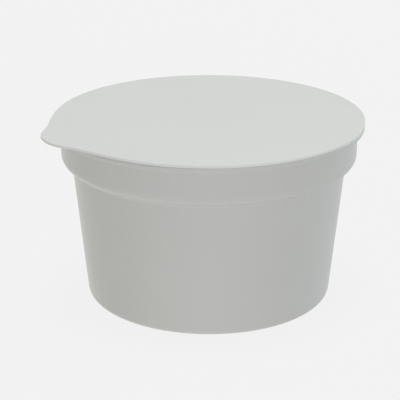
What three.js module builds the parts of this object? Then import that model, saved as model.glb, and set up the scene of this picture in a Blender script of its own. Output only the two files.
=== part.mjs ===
// A shut round dairy tub of white moulded plastic, sealed with a peel-off lid that has a pull tab.
// Millimetres, +Z up. The origin is the middle of the base, on the surface that the tub stands on,
// and the tab points along -X.

import * as THREE from 'three';

// Whole pack
const OVERALL_HEIGHT = 56.1;
const RIM_DIAMETER = 95;

// Lid: a flat disc as wide as the rim
const LID_THICKNESS = 0.8;
const TAB_REACH = 2.7;
const TAB_SPREAD = THREE.MathUtils.degToRad(10.2);
const TAB_BLUNTNESS = 3;
const TAB_FLARE_REACH = 3.3;
const TAB_FLARE_SPREAD = THREE.MathUtils.degToRad(18.2);

// Rim: the flange that the lid is sealed to
const RIM_THICKNESS = 1.75;
const RIM_UPPER_ROUND = 0.3;
const RIM_LOWER_ROUND = 0.9;
const RIM_ROOT_FILLET = 0.7;

// Collar: the upright band under the rim, with a rounded ledge that turns in to the wall
const COLLAR_DIAMETER = 90.7;
const LEDGE_TOP_DROP = 12.5;
const LEDGE_FOOT_DROP = 13.75;
const LEDGE_ROUND = 2.4;
const LEDGE_FILLET = 0.9;

// Wall and base: a straight taper down to a flat foot with a shallow groove round it
const WALL_TOP_DIAMETER = 84.2;
const BASE_DIAMETER = 76;
const BASE_ROUND = 1.8;
const GROOVE_OUTER_DIAMETER = 66;
const GROOVE_INNER_DIAMETER = 54;
const GROOVE_DEPTH = 0.8;
const GROOVE_SIDE = 1;

// Fineness of the faceted solids
const TUB_SEGMENTS = 96;
const LID_STEP = THREE.MathUtils.degToRad(3);
const TAB_STEP = THREE.MathUtils.degToRad(1.5);
const TAB_HALF_ANGLE = THREE.MathUtils.degToRad(45);

// Finishes
const TUB_PLASTIC = new THREE.MeshStandardMaterial({ color: 0xe3e3e0, roughness: 0.42, metalness: 0 });
const LID_FILM = new THREE.MeshStandardMaterial({ color: 0xe9eae8, roughness: 0.5, metalness: 0 });

// A point of a half section, with how far along its two sides its rounding runs and in how many steps.
function corner(diameter, height, round = 0, steps = 1) {
  return { at: new THREE.Vector2(diameter / 2, height), round, steps };
}

// The points of a half section whose corners are rounded.
function roundedSection(corners) {
  return corners.flatMap(({ at, round, steps }, i) => {
    if (round === 0) {
      return [at];
    }
    const towards = (other) => other.at.clone().sub(at).setLength(round).add(at);
    const start = towards(corners[i - 1]);
    const end = towards(corners[i + 1]);
    return new THREE.QuadraticBezierCurve(start, at, end).getPoints(steps);
  });
}

// The tub is shut, so it is one solid, turned from its half section.
function makeTub() {
  const rimTop = OVERALL_HEIGHT - LID_THICKNESS;
  const rimFoot = rimTop - RIM_THICKNESS;
  const section = roundedSection([
    corner(0, 0),
    corner(GROOVE_INNER_DIAMETER, 0),
    corner(GROOVE_INNER_DIAMETER + 2 * GROOVE_SIDE, GROOVE_DEPTH),
    corner(GROOVE_OUTER_DIAMETER - 2 * GROOVE_SIDE, GROOVE_DEPTH),
    corner(GROOVE_OUTER_DIAMETER, 0),
    corner(BASE_DIAMETER, 0, BASE_ROUND, 4),
    corner(WALL_TOP_DIAMETER, OVERALL_HEIGHT - LEDGE_FOOT_DROP, LEDGE_FILLET, 3),
    corner(COLLAR_DIAMETER, OVERALL_HEIGHT - LEDGE_TOP_DROP, LEDGE_ROUND, 5),
    corner(COLLAR_DIAMETER, rimFoot, RIM_ROOT_FILLET, 2),
    corner(RIM_DIAMETER, rimFoot, RIM_LOWER_ROUND, 3),
    corner(RIM_DIAMETER, rimTop, RIM_UPPER_ROUND, 2),
    corner(0, rimTop),
  ]);
  const geometry = new THREE.LatheGeometry(section, TUB_SEGMENTS);
  // A lathe turns about +Y, and the tub stands along +Z.
  geometry.rotateX(Math.PI / 2);
  const tub = new THREE.Mesh(geometry, TUB_PLASTIC);
  tub.name = 'tub';
  return tub;
}

// How far the lid's edge lies from its middle, at an angle from the tab's own direction:
// a circle that swells into a tab with a blunt tip on a wide flare.
function lidReach(angle) {
  const tab = TAB_REACH * Math.exp(-(Math.abs(angle / TAB_SPREAD) ** TAB_BLUNTNESS));
  const flare = TAB_FLARE_REACH * Math.exp(-((angle / TAB_FLARE_SPREAD) ** 2));
  return RIM_DIAMETER / 2 + tab + flare;
}

// The lid is stamped flat from one sheet, with finer steps along the tab's edge.
function makeLid() {
  const angles = [];
  for (let angle = -Math.PI; angle < Math.PI - LID_STEP / 2; ) {
    angles.push(angle);
    angle += Math.abs(angle + TAB_STEP / 2) < TAB_HALF_ANGLE ? TAB_STEP : LID_STEP;
  }
  const outline = angles.map((angle) => {
    const reach = lidReach(angle);
    return new THREE.Vector2(-reach * Math.cos(angle), -reach * Math.sin(angle));
  });
  const geometry = new THREE.ExtrudeGeometry(new THREE.Shape(outline), {
    depth: LID_THICKNESS,
    bevelEnabled: false,
  });
  const lid = new THREE.Mesh(geometry, LID_FILM);
  lid.name = 'lid';
  lid.position.z = OVERALL_HEIGHT - LID_THICKNESS;
  return lid;
}

const pack = new THREE.Group();
pack.add(makeTub(), makeLid());

export default pack;
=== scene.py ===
"""Looks of a shut cottage cheese tub: a white moulded tub under a peel-off lid with a pull tab.

Everything is in metres, +Z up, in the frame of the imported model, with the tab along -X.
"""

import logging
import math
from collections.abc import Callable, Sequence
from dataclasses import dataclass
from enum import Enum

import bmesh
import bpy
from mathutils import Matrix, Vector, noise


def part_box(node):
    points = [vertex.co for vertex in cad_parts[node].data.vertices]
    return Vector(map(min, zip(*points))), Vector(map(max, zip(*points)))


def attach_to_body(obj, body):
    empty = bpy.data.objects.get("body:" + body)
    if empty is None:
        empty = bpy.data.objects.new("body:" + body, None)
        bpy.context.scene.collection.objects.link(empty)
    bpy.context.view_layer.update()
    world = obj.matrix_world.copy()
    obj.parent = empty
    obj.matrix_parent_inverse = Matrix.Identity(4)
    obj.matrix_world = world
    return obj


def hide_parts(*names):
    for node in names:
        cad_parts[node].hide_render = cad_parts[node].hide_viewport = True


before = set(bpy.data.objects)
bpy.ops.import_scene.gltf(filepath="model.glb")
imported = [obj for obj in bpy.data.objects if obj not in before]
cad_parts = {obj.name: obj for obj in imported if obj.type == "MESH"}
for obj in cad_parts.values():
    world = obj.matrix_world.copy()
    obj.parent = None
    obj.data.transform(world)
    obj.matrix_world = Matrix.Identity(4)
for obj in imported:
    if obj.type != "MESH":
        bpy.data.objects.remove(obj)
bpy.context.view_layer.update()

MM = 0.001
ROOT_BODY = "root"
IMAGE_SIDE = 400
SENSOR_WIDTH = 36.0

log = logging.getLogger("cottage_cheese_tub")

Colour = tuple[float, float, float, float]


class Node(Enum):
    """CAD nodes that the pieces stand for."""

    TUB = "tub"
    LID = "lid"


class Slot(Enum):
    """Material slots of the record."""

    TUB = "tub_plastic"
    LID = "lid_film"


class Grain(Enum):
    """Ways that the fine streaks in a surface run, as how far noise is stretched along X, Y and Z."""

    UP_THE_WALL = (1.0, 1.0, 0.12)
    ALONG_THE_SHEET = (1.0, 0.15, 1.0)


def smooth_step(low: float, high: float, value: float) -> float:
    """Ease from 0 at one value to 1 at another.

    Args:
        low: value at which the result leaves 0.
        high: value at which the result reaches 1.
        value: the value to ease.

    Returns:
        A number from 0 to 1.
    """
    share = min(1.0, max(0.0, (value - low) / (high - low)))
    return share * share * (3.0 - 2.0 * share)


@dataclass(frozen=True)
class Corner:
    """A corner of a turned half section.

    Attributes:
        radius: distance from the axis.
        height: height above the base.
        ease: how far along both of its sides the corner's rounding runs.
        steps: spans that the rounding is made of.
    """

    radius: float
    height: float
    ease: float = 0.0
    steps: int = 1

    @property
    def place(self) -> Vector:
        """The corner as a point of the half section."""
        return Vector((self.radius, self.height))

    def rounding(self, before: "Corner", after: "Corner", guard: float) -> list[Vector]:
        """Round this corner off.

        Args:
            before: the corner that the section comes from.
            after: the corner that the section goes on to.
            guard: gap to the extra point on either side, which keeps the flats next to it flat.

        Returns:
            Points of the section round this corner.
        """
        if self.ease == 0.0:
            return [self.place]
        back = (before.place - self.place).normalized()
        ahead = (after.place - self.place).normalized()
        start, end = self.place + back * self.ease, self.place + ahead * self.ease
        curve = [start + back * guard]
        for step in range(self.steps + 1):
            t = step / self.steps
            curve.append(start * (1 - t) ** 2 + self.place * (2 * t * (1 - t)) + end * t**2)
        curve.append(end + ahead * guard)
        return curve


def mesh_piece(name: str, build: Callable[[bmesh.types.BMesh], None]) -> bpy.types.Object:
    """Make a smooth-shaded mesh object.

    Args:
        name: name of the piece.
        build: fills the mesh.

    Returns:
        The object, linked to the scene.
    """
    grid = bmesh.new()
    build(grid)
    bmesh.ops.recalc_face_normals(grid, faces=grid.faces[:])
    mesh = bpy.data.meshes.new(name)
    grid.to_mesh(mesh)
    grid.free()
    mesh.shade_smooth()
    piece = bpy.data.objects.new(name, mesh)
    bpy.context.scene.collection.objects.link(piece)
    return piece


def join_rings(grid: bmesh.types.BMesh, rings: Sequence[Sequence[Vector]]) -> None:
    """Skin a stack of closed rings, with a fan over a first or last ring of a single point.

    Args:
        grid: mesh that takes the faces.
        rings: rings of as many points each, or of one point at either end.
    """
    made = [[grid.verts.new(point) for point in ring] for ring in rings]
    for lower, upper in zip(made, made[1:]):
        count = max(len(lower), len(upper))
        for i in range(count):
            j = (i + 1) % count
            if len(lower) == 1:
                grid.faces.new((lower[0], upper[i], upper[j]))
            elif len(upper) == 1:
                grid.faces.new((lower[i], lower[j], upper[0]))
            else:
                grid.faces.new((lower[i], lower[j], upper[j], upper[i]))


def attach(piece: bpy.types.Object, node: Node, material: bpy.types.Material) -> None:
    """Dress a piece, which throws no shade on itself in the even light, and tie it to the model.

    Args:
        piece: the piece.
        node: CAD node that it stands for.
        material: its finish.
    """
    piece.data.materials.append(material)
    piece.visible_diffuse = False
    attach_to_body(piece, ROOT_BODY)
    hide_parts(node.value)
    log.info("%s stands for %s with %d faces", piece.name, node.value, len(piece.data.polygons))


class StreakedGrain:
    """Shader node group of a fine streaked grain with a slow drift of tone, for every surface."""

    NAME = "streaked_grain"
    DRIFT_DETAIL = 3.0
    STREAK_DETAIL = 4.0
    PORE_DETAIL = 2.0

    def __init__(self) -> None:
        """Make the group."""
        self.tree = bpy.data.node_groups.new(self.NAME, "ShaderNodeTree")
        self._sockets()
        self._nodes()

    def _sockets(self) -> None:
        """Name the group's inputs and outputs."""
        new = self.tree.interface.new_socket
        new("Stretch", in_out="INPUT", socket_type="NodeSocketVector")
        for name in ("Grain Scale", "Drift Scale", "Low Roughness", "High Roughness"):
            new(name, in_out="INPUT", socket_type="NodeSocketFloat")
        for name in ("Dark Tone", "Light Tone"):
            new(name, in_out="INPUT", socket_type="NodeSocketColor")
        new("Color", in_out="OUTPUT", socket_type="NodeSocketColor")
        for name in ("Roughness", "Height"):
            new(name, in_out="OUTPUT", socket_type="NodeSocketFloat")

    def _noise(
        self, scale: bpy.types.NodeSocket, place: bpy.types.NodeSocket, detail: float
    ) -> bpy.types.Node:
        """Add a noise.

        Args:
            scale: socket that gives the noise's scale.
            place: socket that gives its coordinates.
            detail: octaves of the noise.

        Returns:
            The noise node.
        """
        node = self.tree.nodes.new("ShaderNodeTexNoise")
        node.inputs["Detail"].default_value = detail
        self.tree.links.new(scale, node.inputs["Scale"])
        self.tree.links.new(place, node.inputs["Vector"])
        return node

    def _nodes(self) -> None:
        """Wire the drift to the colour, the streaks to the roughness and the grain to the height."""
        nodes, link = self.tree.nodes, self.tree.links.new
        given = nodes.new("NodeGroupInput").outputs
        result = nodes.new("NodeGroupOutput").inputs
        place = nodes.new("ShaderNodeTexCoord").outputs["Object"]

        drift = self._noise(given["Drift Scale"], place, self.DRIFT_DETAIL)
        tone = nodes.new("ShaderNodeMix")
        tone.data_type = "RGBA"
        link(drift.outputs["Fac"], tone.inputs["Factor"])
        link(given["Dark Tone"], tone.inputs["A"])
        link(given["Light Tone"], tone.inputs["B"])
        link(tone.outputs["Result"], result["Color"])

        stretched = nodes.new("ShaderNodeVectorMath")
        stretched.operation = "MULTIPLY"
        link(place, stretched.inputs[0])
        link(given["Stretch"], stretched.inputs[1])
        streaks = self._noise(given["Grain Scale"], stretched.outputs["Vector"], self.STREAK_DETAIL)
        gloss = nodes.new("ShaderNodeMapRange")
        link(streaks.outputs["Fac"], gloss.inputs["Value"])
        link(given["Low Roughness"], gloss.inputs["To Min"])
        link(given["High Roughness"], gloss.inputs["To Max"])
        link(gloss.outputs["Result"], result["Roughness"])

        pores = self._noise(given["Grain Scale"], place, self.PORE_DETAIL)
        height = nodes.new("ShaderNodeMath")
        height.operation = "ADD"
        link(pores.outputs["Fac"], height.inputs[0])
        link(streaks.outputs["Fac"], height.inputs[1])
        link(height.outputs["Value"], result["Height"])


@dataclass(frozen=True)
class Finish:
    """A plain sheet or moulding, with a fine grain, uneven gloss and a slow drift of tone.

    Attributes:
        name: name of the material.
        dark_tone: colour at the darkest of the drift.
        light_tone: colour at the lightest of the drift.
        low_roughness: roughness at the glossiest of the streaks.
        high_roughness: roughness at the dullest of the streaks.
        grain: way that the streaks run.
        grain_scale: grains in a metre.
        drift_scale: drifts of tone in a metre.
        relief: height of the grain.
        ior: index of refraction.
    """

    name: str
    dark_tone: Colour
    light_tone: Colour
    low_roughness: float
    high_roughness: float
    grain: Grain
    grain_scale: float
    drift_scale: float
    relief: float
    ior: float

    def material(self, group: StreakedGrain) -> bpy.types.Material:
        """Make the material.

        Args:
            group: the shared grain.

        Returns:
            The material.
        """
        made = bpy.data.materials.new(self.name)
        made.use_nodes = True
        nodes, link = made.node_tree.nodes, made.node_tree.links.new
        shader = nodes["Principled BSDF"]
        shader.inputs["IOR"].default_value = self.ior
        grain = nodes.new("ShaderNodeGroup")
        grain.node_tree = group.tree
        grain.inputs["Stretch"].default_value = self.grain.value
        grain.inputs["Grain Scale"].default_value = self.grain_scale
        grain.inputs["Drift Scale"].default_value = self.drift_scale
        grain.inputs["Low Roughness"].default_value = self.low_roughness
        grain.inputs["High Roughness"].default_value = self.high_roughness
        grain.inputs["Dark Tone"].default_value = self.dark_tone
        grain.inputs["Light Tone"].default_value = self.light_tone
        bump = nodes.new("ShaderNodeBump")
        bump.inputs["Distance"].default_value = self.relief
        link(self.tone(made.node_tree, grain.outputs["Color"]), shader.inputs["Base Color"])
        link(grain.outputs["Roughness"], shader.inputs["Roughness"])
        link(grain.outputs["Height"], bump.inputs["Height"])
        link(bump.outputs["Normal"], shader.inputs["Normal"])
        return made

    def tone(self, tree: bpy.types.NodeTree, grain: bpy.types.NodeSocket) -> bpy.types.NodeSocket:
        """Work out the surface's colour, which here is the grain's own.

        Args:
            tree: the material's nodes, not used here.
            grain: socket that gives the grain's colour.

        Returns:
            Socket that gives the colour.
        """
        return grain


@dataclass(frozen=True)
class HighlitEdgeSheetFinish(Finish):
    """A sheet whose upright edge is painted paler than its faces: a painted highlight that makes the edge
    look as brightly lit as the top face.

    Attributes:
        edge_highlight_tone: paler colour painted on the upright edge, a painted highlight.
        edge_tilt: upright share of the normal at which a face no longer counts as the edge.
    """

    edge_highlight_tone: Colour
    edge_tilt: float

    def tone(self, tree: bpy.types.NodeTree, grain: bpy.types.NodeSocket) -> bpy.types.NodeSocket:
        """Work out the surface's colour: the grain's own on the faces, and a paler painted highlight along
        the upright edge.

        Args:
            tree: the material's nodes.
            grain: socket that gives the grain's colour.

        Returns:
            Socket that gives the colour.
        """
        nodes, link = tree.nodes, tree.links.new
        # Painted highlight: faces whose normal is near level, the sheet's upright edge, get the paler colour
        # so the edge looks as brightly lit as the top.
        split = nodes.new("ShaderNodeSeparateXYZ")
        link(nodes.new("ShaderNodeNewGeometry").outputs["Normal"], split.inputs["Vector"])
        tilt = nodes.new("ShaderNodeMath")
        tilt.operation = "ABSOLUTE"
        link(split.outputs["Z"], tilt.inputs[0])
        face = nodes.new("ShaderNodeMapRange")
        face.inputs["From Min"].default_value = self.edge_tilt / 2
        face.inputs["From Max"].default_value = self.edge_tilt
        link(tilt.outputs["Value"], face.inputs["Value"])
        mixed = nodes.new("ShaderNodeMix")
        mixed.data_type = "RGBA"
        mixed.inputs["A"].default_value = self.edge_highlight_tone
        link(face.outputs["Result"], mixed.inputs["Factor"])
        link(grain, mixed.inputs["B"])
        return mixed.outputs["Result"]


TUB_PLASTIC = Finish(
    name="tub_plastic",
    dark_tone=(0.467, 0.467, 0.458, 1.0),
    light_tone=(0.487, 0.487, 0.478, 1.0),
    low_roughness=0.2,
    high_roughness=0.28,
    grain=Grain.UP_THE_WALL,
    grain_scale=900.0,
    drift_scale=40.0,
    relief=0.01 * MM,
    ior=1.49,
)

LID_FILM = HighlitEdgeSheetFinish(
    name="lid_film",
    dark_tone=(0.475, 0.487, 0.472, 1.0),
    light_tone=(0.495, 0.507, 0.492, 1.0),
    low_roughness=0.42,
    high_roughness=0.52,
    grain=Grain.ALONG_THE_SHEET,
    grain_scale=1200.0,
    drift_scale=30.0,
    relief=0.006 * MM,
    ior=1.47,
    # Painted highlight: the lid's upright edge is painted paler than the film so it looks as brightly lit as
    # the top.
    edge_highlight_tone=(0.61, 0.62, 0.605, 1.0),
    edge_tilt=0.5,
)


@dataclass
class Tub:
    """The moulded tub: foot, tapered wall, ledge, collar and rim, turned from one half section.

    The rim's upper edge is eased more under the lid's tab, where a finger gets hold of the lid.

    Attributes:
        rim_thickness: height of the rim.
        rim_upper_round: rounding of its upper edge.
        grip_round: rounding of its upper edge under the tab.
        grip_spread: angles from the tab at which that rounding starts and ends to fade.
        rim_lower_round: rounding of its lower edge.
        rim_root_fillet: fillet between rim and collar.
        collar_radius: radius of the collar.
        ledge_top_drop: how far the collar's lower edge lies below the top of the pack.
        ledge_foot_drop: how far the wall's upper edge lies below it.
        ledge_round: rounding of the collar's lower edge.
        ledge_fillet: fillet between ledge and wall.
        wall_top_radius: radius of the wall under the ledge.
        base_radius: radius of the wall at the foot.
        base_round: rounding of the foot's edge.
        groove_outer_radius: outer radius of the groove in the base.
        groove_inner_radius: inner radius of the groove.
        groove_depth: depth of the groove.
        groove_side: width of each of its slanting sides.
        groove_round: rounding of its edges.
        gate_radius: radius of the moulding gate's dimple.
        gate_depth: depth of the dimple.
        guard: gap to the extra point on either side of a rounding.
        small_steps: spans of a small rounding.
        large_steps: spans of a large rounding.
        segments: sections round the axis.
    """

    rim_thickness: float = 1.75 * MM
    rim_upper_round: float = 0.2 * MM
    grip_round: float = 0.68 * MM
    grip_spread: tuple[float, float] = (math.radians(38.0), math.radians(66.0))
    rim_lower_round: float = 0.9 * MM
    rim_root_fillet: float = 0.7 * MM
    collar_radius: float = 45.35 * MM
    ledge_top_drop: float = 12.5 * MM
    ledge_foot_drop: float = 13.75 * MM
    ledge_round: float = 2.4 * MM
    ledge_fillet: float = 0.9 * MM
    wall_top_radius: float = 42.1 * MM
    base_radius: float = 38.0 * MM
    base_round: float = 1.8 * MM
    groove_outer_radius: float = 33.0 * MM
    groove_inner_radius: float = 27.0 * MM
    groove_depth: float = 0.8 * MM
    groove_side: float = 1.0 * MM
    groove_round: float = 0.4 * MM
    gate_radius: float = 2.2 * MM
    gate_depth: float = 0.25 * MM
    guard: float = 0.08 * MM
    small_steps: int = 6
    large_steps: int = 14
    segments: int = 288

    def section(self, rim: Vector, lid_top: float, turn: float) -> list[Vector]:
        """Work out the half section, from the axis at the base round to the axis at the rim.

        Args:
            rim: the rim's outer upper edge, as radius and height.
            lid_top: height of the shut pack.
            turn: angle of the section from the tab's own direction.

        Returns:
            Points as radius and height.
        """
        grip = 1.0 - smooth_step(*self.grip_spread, abs(turn))
        upper_round = self.rim_upper_round + (self.grip_round - self.rim_upper_round) * grip
        rim_foot = rim.y - self.rim_thickness
        small, large = self.small_steps, self.large_steps
        groove = [
            Corner(self.groove_inner_radius, 0.0, self.groove_round, small),
            Corner(self.groove_inner_radius + self.groove_side, self.groove_depth, self.groove_round, small),
            Corner(self.groove_outer_radius - self.groove_side, self.groove_depth, self.groove_round, small),
            Corner(self.groove_outer_radius, 0.0, self.groove_round, small),
        ]
        corners = [
            Corner(0.0, self.gate_depth),
            Corner(self.gate_radius / 2, self.gate_depth, self.gate_radius / 4, small),
            Corner(self.gate_radius, 0.0, self.gate_radius / 4, small),
            *groove,
            Corner(self.base_radius, 0.0, self.base_round, large),
            Corner(self.wall_top_radius, lid_top - self.ledge_foot_drop, self.ledge_fillet, large),
            Corner(self.collar_radius, lid_top - self.ledge_top_drop, self.ledge_round, large),
            Corner(self.collar_radius, rim_foot, self.rim_root_fillet, small),
            Corner(rim.x, rim_foot, self.rim_lower_round, small),
            Corner(rim.x, rim.y, upper_round, small),
            Corner(0.0, rim.y),
        ]
        points = [corners[0].place]
        for before, corner, after in zip(corners, corners[1:], corners[2:]):
            points += corner.rounding(before, after, self.guard)
        return [*points, corners[-1].place]

    def build(self, lid_top: float) -> bpy.types.Object:
        """Turn the section about the axis.

        Args:
            lid_top: height of the shut pack.

        Returns:
            The tub.
        """
        turns = [2 * math.pi * i / self.segments - math.pi for i in range(self.segments)]
        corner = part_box(Node.TUB.value)[1]
        rim = Vector((corner.x, corner.z))
        sections = [self.section(rim, lid_top, turn) for turn in turns]
        spokes = [Vector((-math.cos(turn), -math.sin(turn), 0.0)) for turn in turns]
        rings = []
        for points in zip(*sections):
            if points[0].x == 0.0:
                rings.append([Vector((0.0, 0.0, points[0].y))])
            else:
                rings.append([spoke * p.x + Vector((0.0, 0.0, p.y)) for spoke, p in zip(spokes, points)])
        return mesh_piece("tub_body", lambda grid: join_rings(grid, rings))

    def dress(self, piece: bpy.types.Object, grain: StreakedGrain) -> None:
        """Give the tub its finish and tie it to the model.

        Args:
            piece: the tub.
            grain: the shared grain.
        """
        attach(piece, Node.TUB, TUB_PLASTIC.material(grain))


@dataclass
class PeelLid:
    """The peel-off lid: one stamped sheet, sealed to the rim, with a pull tab.

    Attributes:
        tab_reach: how far the tab stands out of its flare.
        tab_spread: angle at which the tab has mostly fallen away.
        tab_bluntness: how blunt the tab's tip is.
        flare_reach: how far the flare stands out of the round.
        flare_spread: angle at which the flare has mostly fallen away.
        upper_round: rounding of the sheet's upper edge.
        lower_round: rounding of its lower edge.
        seal_inner_radius: inner radius of the seal's press mark.
        seal_outer_radius: outer radius of the press mark.
        seal_ramp: width of each of its sides.
        seal_depth: depth of the press mark.
        slack_depth: depth of the slack inside the seal.
        slack_width: width of its waves.
        slack_start: share of the seal's inner radius at which the slack starts to fade.
        segments: points round the edge.
        face_rings: rings of the upper face.
        skirt_rings: rings from the seal out to the edge.
        edge_steps: spans of each rounding.
    """

    tab_reach: float = 2.7 * MM
    tab_spread: float = math.radians(10.2)
    tab_bluntness: float = 3.0
    flare_reach: float = 3.3 * MM
    flare_spread: float = math.radians(18.2)
    upper_round: float = 0.12 * MM
    lower_round: float = 0.12 * MM
    seal_inner_radius: float = 43.2 * MM
    seal_outer_radius: float = 46.4 * MM
    seal_ramp: float = 0.9 * MM
    seal_depth: float = 0.03 * MM
    slack_depth: float = 0.05 * MM
    slack_width: float = 26.0 * MM
    slack_start: float = 0.5
    segments: int = 360
    face_rings: int = 44
    skirt_rings: int = 8
    edge_steps: int = 6

    def reach(self, radius: float, angle: float) -> float:
        """Work out how far the edge lies from the middle.

        Args:
            radius: radius of the lid away from the tab.
            angle: angle from the tab's own direction.

        Returns:
            Distance from the axis.
        """
        tab = self.tab_reach * math.exp(-(abs(angle / self.tab_spread) ** self.tab_bluntness))
        flare = self.flare_reach * math.exp(-((angle / self.flare_spread) ** 2))
        return radius + tab + flare

    def sunk(self, x: float, y: float) -> float:
        """Work out how far the sheet's upper face lies below its highest level.

        Args:
            x: place across the lid.
            y: place across the lid.

        Returns:
            Depth of the seal's press mark and of the slack inside it.
        """
        radius = math.hypot(x, y)
        inside = smooth_step(self.seal_inner_radius - self.seal_ramp, self.seal_inner_radius, radius)
        outside = smooth_step(self.seal_outer_radius, self.seal_outer_radius + self.seal_ramp, radius)
        wave = noise.noise(Vector((x, y, 0.0)) / self.slack_width) * 0.5 + 0.5
        fade = smooth_step(self.slack_start, 1.0, radius / self.seal_inner_radius)
        slack = self.slack_depth * wave * (1.0 - fade)
        return self.seal_depth * (inside - outside) + slack

    def ring(self, radii: Sequence[float], height: Callable[[float, float], float]) -> list[Vector]:
        """Lay points round the axis.

        Args:
            radii: each point's distance from the axis.
            height: gives a point's height from its place across the lid.

        Returns:
            The points.
        """
        points = []
        for turn, radius in zip(self.turns, radii):
            x, y = -radius * math.cos(turn), -radius * math.sin(turn)
            points.append(Vector((x, y, height(x, y))))
        return points

    @property
    def turns(self) -> list[float]:
        """Angles of the points round the edge, from the tab's own direction."""
        return [2 * math.pi * i / self.segments - math.pi for i in range(self.segments)]

    def build(self) -> bpy.types.Object:
        """Lay the sheet's faces and roll its edge.

        Returns:
            The lid.
        """
        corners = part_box(Node.LID.value)
        low, high = corners[0].z, corners[1].z
        reaches = [self.reach(corners[1].x, turn) for turn in self.turns]
        flat_radius = self.seal_outer_radius

        rings = [[Vector((0.0, 0.0, high - self.sunk(0.0, 0.0)))]]
        face = [flat_radius * (i + 1) / self.face_rings for i in range(self.face_rings)]
        for radius in face:
            rings.append(self.ring([radius] * self.segments, lambda x, y: high - self.sunk(x, y)))
        for i in range(1, self.skirt_rings + 1):
            share = i / self.skirt_rings
            radii = [flat_radius + (r - self.upper_round - flat_radius) * share for r in reaches]
            rings.append(self.ring(radii, lambda x, y: high - self.sunk(x, y)))
        for size, middle, first in (
            (self.upper_round, high - self.upper_round, 0.0),
            (self.lower_round, low + self.lower_round, math.pi / 2),
        ):
            for i in range(self.edge_steps + 1):
                turn = first + math.pi / 2 * i / self.edge_steps
                out, up = size * (math.sin(turn) - 1.0), size * math.cos(turn)
                rings.append(self.ring([r + out for r in reaches], lambda x, y, z=middle + up: z))
        rings.append(self.ring([flat_radius - self.seal_ramp] * self.segments, lambda x, y: low))
        rings.append([Vector((0.0, 0.0, low))])
        return mesh_piece("peel_lid", lambda grid: join_rings(grid, rings))

    def dress(self, piece: bpy.types.Object, grain: StreakedGrain) -> None:
        """Give the lid its finish and tie it to the model.

        Args:
            piece: the lid.
            grain: the shared grain.
        """
        attach(piece, Node.LID, LID_FILM.material(grain))


def away(azimuth: float, height: float) -> Vector:
    """Work out the way from the tub to a viewer.

    Args:
        azimuth: viewer's azimuth in radians, 0 for one who looks along +Y.
        height: viewer's angle above the horizon, in radians.

    Returns:
        A unit vector.
    """
    level = math.cos(height)
    return Vector((math.sin(azimuth) * level, -math.cos(azimuth) * level, math.sin(height)))


def facing(spot: Vector, right: Vector, back: Vector) -> Matrix:
    """Work out where a camera or a light stands.

    Args:
        spot: its place.
        right: the way to its right.
        back: the way straight behind it.

    Returns:
        Its world matrix.
    """
    return Matrix.Translation(spot) @ Matrix((right, back.cross(right), back)).transposed().to_4x4()


@dataclass(frozen=True)
class Softbox:
    """A flat studio light that faces the tub.

    Attributes:
        name: name of the light.
        turn: degrees round from the camera, towards its right.
        height: degrees above the horizon.
        distance: distance from the tub.
        width: width of the light.
        depth: depth of the light.
        power: watts.
        tint: colour of the light.
        fill: whether it only fills, with no shadow and no mirror image.
    """

    name: str
    turn: float
    height: float
    distance: float
    width: float
    depth: float
    power: float
    tint: tuple[float, float, float] = (1.0, 1.0, 1.0)
    fill: bool = False

    def hang(self, camera_azimuth: float, target: Vector) -> None:
        """Put the light up.

        Args:
            camera_azimuth: azimuth of the photograph's camera, in radians.
            target: point that the light faces.
        """
        lamp = bpy.data.lights.new(self.name, "AREA")
        lamp.shape = "RECTANGLE"
        lamp.size, lamp.size_y = self.width, self.depth
        lamp.energy = self.power
        lamp.color = self.tint
        lamp.use_shadow = not self.fill
        lamp.cycles.use_multiple_importance_sampling = not self.fill
        azimuth, height = camera_azimuth + math.radians(self.turn), math.radians(self.height)
        out, right = away(azimuth, height), away(azimuth + math.pi / 2, 0.0)
        light = bpy.data.objects.new(self.name, lamp)
        light.matrix_world = facing(target + out * self.distance, right, out)
        light.visible_camera = False
        light.visible_glossy = not self.fill
        bpy.context.scene.collection.objects.link(light)


@dataclass(frozen=True)
class PhotoCamera:
    """The camera at the photograph's viewing angle.

    Attributes:
        azimuth: degrees round the tub, 0 for a camera that looks along +Y.
        elevation: degrees above the horizon.
        distance: distance to the tub's axis.
        aim_height: height of the point on the axis that is level with the picture's middle.
        tub_right: how far the tub's axis stands to the right of the picture's middle.
        focal_pixels: focal length in pixels of the picture.
        near_clip: distance at which the camera starts to see.
    """

    azimuth: float = -26.3
    elevation: float = 20.41
    distance: float = 421.3 * MM
    aim_height: float = 28.56 * MM
    tub_right: float = 2.73 * MM
    focal_pixels: float = 1346.0
    near_clip: float = 10.0 * MM

    def place(self) -> None:
        """Make the camera and set it as the scene's."""
        data = bpy.data.cameras.new("photo_camera")
        data.sensor_width = SENSOR_WIDTH
        data.lens = SENSOR_WIDTH * self.focal_pixels / IMAGE_SIDE
        data.clip_start = self.near_clip
        turn = math.radians(self.azimuth)
        back = away(turn, math.radians(self.elevation))
        right = away(turn + math.pi / 2, 0.0)
        camera = bpy.data.objects.new("photo_camera", data)
        spot = Vector((0.0, 0.0, self.aim_height)) + back * self.distance - right * self.tub_right
        camera.matrix_world = facing(spot, right, back)
        bpy.context.scene.collection.objects.link(camera)
        bpy.context.scene.camera = camera


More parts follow.
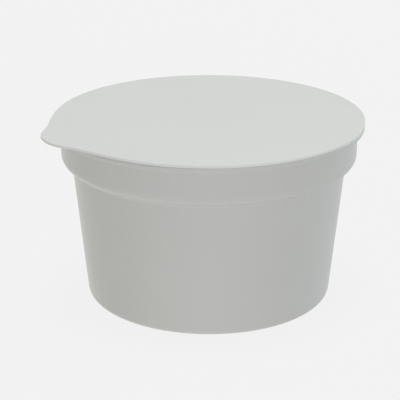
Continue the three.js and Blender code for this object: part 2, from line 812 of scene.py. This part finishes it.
class Surroundings:
    """Nodes of a table or a room, whose light differs from side to side.

    Attributes:
        tree: the nodes.
        way: socket that gives the way from the tub to the point that is lit.
    """

    def __init__(self, tree: bpy.types.NodeTree, way: bpy.types.NodeSocket) -> None:
        """Keep the nodes.

        Args:
            tree: the nodes.
            way: socket that gives the way from the tub to the point that is lit.
        """
        self.tree = tree
        self.way = way

    def along(self, axis: Vector, low: float, high: float) -> bpy.types.NodeSocket:
        """Run a value from one end of an axis to the other.

        Args:
            axis: the axis.
            low: value at its start.
            high: value at its end.

        Returns:
            Socket that gives the value.
        """
        dot = self.tree.nodes.new("ShaderNodeVectorMath")
        dot.operation = "DOT_PRODUCT"
        dot.inputs[1].default_value = axis
        self.tree.links.new(self.way, dot.inputs[0])
        span = self.tree.nodes.new("ShaderNodeMapRange")
        span.inputs["From Min"].default_value = -1.0
        span.inputs["To Min"].default_value = low
        span.inputs["To Max"].default_value = high
        self.tree.links.new(dot.outputs["Value"], span.inputs["Value"])
        return span.outputs["Result"]

    def tint(self, axis: Vector, start: Colour, end: Colour) -> bpy.types.NodeSocket:
        """Run a colour from one end of an axis to the other, plain white where the camera sees it.

        Args:
            axis: the axis.
            start: colour at its start.
            end: colour at its end.

        Returns:
            Socket that gives the colour.
        """
        mixed = self.tree.nodes.new("ShaderNodeMix")
        mixed.data_type = "RGBA"
        mixed.inputs["A"].default_value = start
        mixed.inputs["B"].default_value = end
        self.tree.links.new(self.along(axis, 0.0, 1.0), mixed.inputs["Factor"])
        seen = self.tree.nodes.new("ShaderNodeMix")
        seen.data_type = "RGBA"
        seen.inputs["B"].default_value = (1.0, 1.0, 1.0, 1.0)
        self.tree.links.new(self.camera_ray(), seen.inputs["Factor"])
        self.tree.links.new(mixed.outputs["Result"], seen.inputs["A"])
        return seen.outputs["Result"]

    def camera_ray(self) -> bpy.types.NodeSocket:
        """Give the socket that is 1 where the camera sees the point."""
        return self.tree.nodes.new("ShaderNodeLightPath").outputs["Is Camera Ray"]

    def patch(self, axis: Vector, peak: float, sharpness: float) -> bpy.types.NodeSocket:
        """Put a soft bright patch at one end of an axis.

        Args:
            axis: the axis.
            peak: value at its end.
            sharpness: how fast the value falls away from there.

        Returns:
            Socket that gives the value.
        """
        raised = self.tree.nodes.new("ShaderNodeMath")
        raised.operation = "POWER"
        raised.inputs[1].default_value = sharpness
        self.tree.links.new(self.along(axis, 0.0, peak ** (1.0 / sharpness)), raised.inputs[0])
        return raised.outputs["Value"]

    def camera_mix(self, plain: float) -> bpy.types.Node:
        """Add a mix that shows the camera one even brightness.

        Args:
            plain: brightness that the camera sees.

        Returns:
            The mix, whose input A takes the brightness that lights the tub.
        """
        seen = self.tree.nodes.new("ShaderNodeMix")
        seen.inputs["B"].default_value = plain
        self.tree.links.new(self.camera_ray(), seen.inputs["Factor"])
        return seen


@dataclass(frozen=True)
class Studio:
    """A pale light table in a room with pale walls, under a soft light.

    Attributes:
        table_radius: radius of the table.
        table_sides: sides of its outline.
        table_tone: colour of the table's surface.
        table_glow: brightness of the table where the camera sees it.
        left_glow: brightness of the table at the camera's left.
        right_glow: brightness of the table at the camera's right.
        near_glow: how much brighter the table is next to the camera.
        near_sharpness: how fast that fades round the table.
        backdrop: brightness of the room where the camera sees it.
        dome_light: brightness of the room.
        left_tint: colour of the light from the camera's left.
        right_tint: colour of the light from the camera's right.
    """

    table_radius: float = 6.0
    table_sides: int = 96
    table_tone: Colour = (0.03, 0.03, 0.03, 1.0)
    table_glow: float = 0.85
    left_glow: float = 0.82
    right_glow: float = 0.635
    near_glow: float = 0.333
    near_sharpness: float = 4.0
    backdrop: float = 0.887
    dome_light: float = 0.545
    left_tint: Colour = (1.0, 0.99, 0.962, 1.0)
    right_tint: Colour = (0.975, 1.0, 1.0, 1.0)

    def disc(self, grid: bmesh.types.BMesh) -> None:
        """Make the table's flat disc.

        Args:
            grid: mesh that takes it.
        """
        bmesh.ops.create_circle(grid, cap_ends=True, segments=self.table_sides, radius=self.table_radius)

    def table(self, right: Vector, near: Vector) -> None:
        """Make the table that the tub stands on.

        Args:
            right: the way to the camera's right.
            near: the level way to the camera.
        """
        table = mesh_piece("light_table", self.disc)
        paper = bpy.data.materials.new("table_surface")
        paper.use_nodes = True
        nodes, link = paper.node_tree.nodes, paper.node_tree.links.new
        shader = nodes["Principled BSDF"]
        shader.inputs["Base Color"].default_value = self.table_tone
        shader.inputs["Roughness"].default_value = 1.0
        shader.inputs["Specular IOR Level"].default_value = 0.0
        way = nodes.new("ShaderNodeVectorMath")
        way.operation = "NORMALIZE"
        link(nodes.new("ShaderNodeNewGeometry").outputs["Position"], way.inputs[0])
        around = Surroundings(paper.node_tree, way.outputs["Vector"])
        glow = nodes.new("ShaderNodeMath")
        glow.operation = "ADD"
        link(around.along(right, self.left_glow, self.right_glow), glow.inputs[0])
        link(around.patch(near, self.near_glow, self.near_sharpness), glow.inputs[1])
        seen = around.camera_mix(self.table_glow)
        link(glow.outputs["Value"], seen.inputs["A"])
        link(seen.outputs["Result"], shader.inputs["Emission Strength"])
        link(around.tint(right, self.left_tint, self.right_tint), shader.inputs["Emission Color"])
        paper.cycles.emission_sampling = "NONE"
        table.data.materials.append(paper)

    def room(self, right: Vector) -> None:
        """Light the room evenly.

        Args:
            right: the way to the camera's right.
        """
        world = bpy.data.worlds.new("studio_room")
        world.use_nodes = True
        nodes, link = world.node_tree.nodes, world.node_tree.links.new
        background = nodes["Background"]
        around = Surroundings(world.node_tree, nodes.new("ShaderNodeTexCoord").outputs["Generated"])
        seen = around.camera_mix(self.backdrop)
        seen.inputs["A"].default_value = self.dome_light
        link(seen.outputs["Result"], background.inputs["Strength"])
        link(around.tint(right, self.left_tint, self.right_tint), background.inputs["Color"])
        world.cycles.sampling_method = "NONE"
        bpy.context.scene.world = world

    def build(self, lights: Sequence[Softbox], camera: PhotoCamera) -> None:
        """Set the studio up round the tub.

        Args:
            lights: the lights to hang.
            camera: the photograph's camera, which the lights are placed from.
        """
        turn = math.radians(camera.azimuth)
        right = away(turn + math.pi / 2, 0.0)
        self.table(right, away(turn, 0.0))
        self.room(right)
        target = Vector((0.0, 0.0, camera.aim_height))
        for light in lights:
            light.hang(turn, target)
        bpy.context.scene.view_settings.view_transform = "Standard"
        bpy.context.scene.cycles.use_denoising = True


WARM = (1.0, 0.98, 0.95)
COOL = (0.88, 0.98, 1.0)
LIGHTS = (
    Softbox("overhead", 0.0, 90.0, distance=2.0, width=0.6, depth=0.6, power=25.0),
    Softbox("front_fill", 25.0, 40.0, distance=0.9, width=0.5, depth=0.3, power=1.8, fill=True),
    Softbox("back_fill", 190.0, 8.0, distance=0.9, width=0.5, depth=0.3, power=1.6, tint=WARM, fill=True),
    Softbox("cool_side", 122.0, 12.0, distance=0.9, width=0.4, depth=0.3, power=2.4, tint=COOL),
)


def main() -> None:
    """Build the tub, its lid, the camera and the studio."""
    logging.basicConfig(level=logging.INFO, format="%(name)s: %(message)s")
    camera = PhotoCamera()
    camera.place()
    grain = StreakedGrain()
    log.info("frame with %d nodes", len(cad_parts))
    tub, lid = Tub(), PeelLid()
    tub.dress(tub.build(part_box(Node.LID.value)[1].z), grain)
    lid.dress(lid.build(), grain)
    Studio().build(LIGHTS, camera)


if __name__ == "__main__":
    main()
